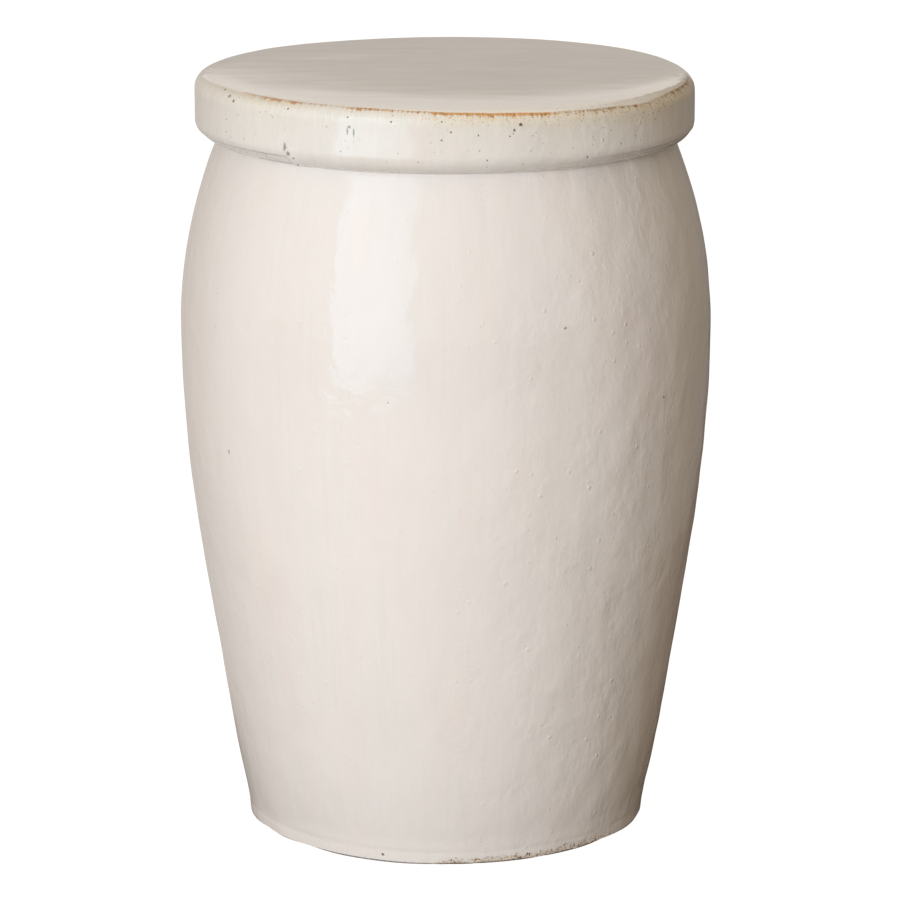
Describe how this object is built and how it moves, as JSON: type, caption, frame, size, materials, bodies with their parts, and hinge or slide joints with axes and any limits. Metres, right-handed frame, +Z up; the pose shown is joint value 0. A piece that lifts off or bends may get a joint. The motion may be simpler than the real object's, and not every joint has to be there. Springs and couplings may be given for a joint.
{
  "type": "garden stool",
  "caption": "Barrel-shaped hollow ceramic garden stool with a flat round seat, a rolled rim, a tucked-in foot and a warm white gloss glaze with a rust-brown break line.",
  "frame": {"origin": "centre of the circle that the foot ring stands on, at floor level", "axes": "+Z up along the barrel's axis; the part is round, and -Y is the side with the rust-brown break line"},
  "size_m": [0.322, 0.3218, 0.46],
  "materials": {
    "bare_clay": "unglazed, matt, grogged",
    "wall_glaze": "warm white gloss glaze with fine vertical streaks",
    "rim_glaze": "warm white gloss glaze, speckled, rust-brown where it breaks over the edge",
    "seat_glaze": "greyish white gloss glaze with faint swirls"
  },
  "bodies": {
    "root": {"foot_ring": "bare_clay", "lower_wall": "bare_clay", "belly_seam_coil": "bare_clay", "upper_wall": "bare_clay", "seat_corner_coil": "bare_clay", "seat_slab": "bare_clay", "rim_collar": "bare_clay", "wall_glaze": "wall_glaze", "rim_glaze": "rim_glaze", "seat_glaze": "seat_glaze"}
  },
  "joints": []
}
